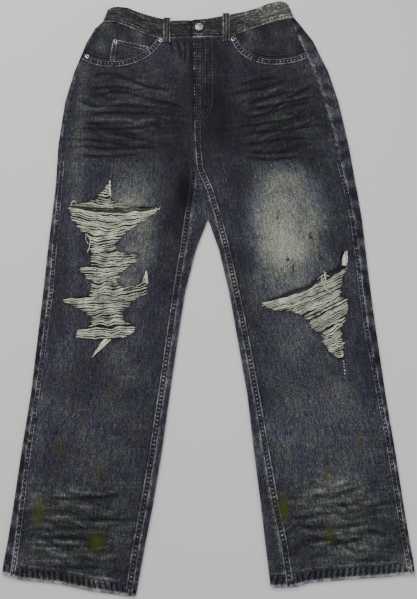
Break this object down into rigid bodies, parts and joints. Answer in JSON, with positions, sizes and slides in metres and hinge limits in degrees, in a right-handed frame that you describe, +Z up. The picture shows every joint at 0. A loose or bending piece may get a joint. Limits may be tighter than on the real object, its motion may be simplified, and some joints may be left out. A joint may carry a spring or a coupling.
{
  "type": "pair of ripped jeans laid flat",
  "caption": "Worn baggy straight denim jeans laid flat face up, torn thighs bridged by bare white threads, faded creases, shank button and rivets.",
  "frame": {"origin": "under the middle of the jeans, on the surface they lie on", "axes": "+Y to the waist, +X to the wearer's left, +Z up from the surface"},
  "size_m": [0.694, 1.1299, 0.0133],
  "materials": {
    "denim_front": "washed black-blue denim twill, faded grey on the thighs, whiskered and stained",
    "denim_back": "washed black-blue denim twill",
    "denim_band": "washed denim twill, worn light along its edges",
    "bare_weft": "bare off-white cotton weft threads",
    "zip_tape": "dark woven tape",
    "old_nickel": "dull antique nickel"
  },
  "bodies": {
    "root": {"front_right": "denim_front", "front_left": "denim_front", "back_right": "denim_back", "back_left": "denim_back", "yoke_right": "denim_back", "yoke_left": "denim_back", "waistband": "denim_band", "belt_loop_front_right": "denim_band", "belt_loop_front_left": "denim_band", "belt_loop_back_right": "denim_band", "belt_loop_centre_back": "denim_band", "belt_loop_back_left": "denim_band", "pocket_facing_right": "denim_back", "pocket_facing_left": "denim_back", "coin_pocket": "denim_back", "back_pocket_right": "denim_back", "back_pocket_left": "denim_back", "fly_zip": "zip_tape", "rip_threads_right": "bare_weft", "rip_threads_left": "bare_weft", "waist_button": "old_nickel", "rivet_pocket_inner_right": "old_nickel", "rivet_pocket_outer_right": "old_nickel", "rivet_coin_pocket": "old_nickel", "rivet_pocket_inner_left": "old_nickel"}
  },
  "joints": []
}
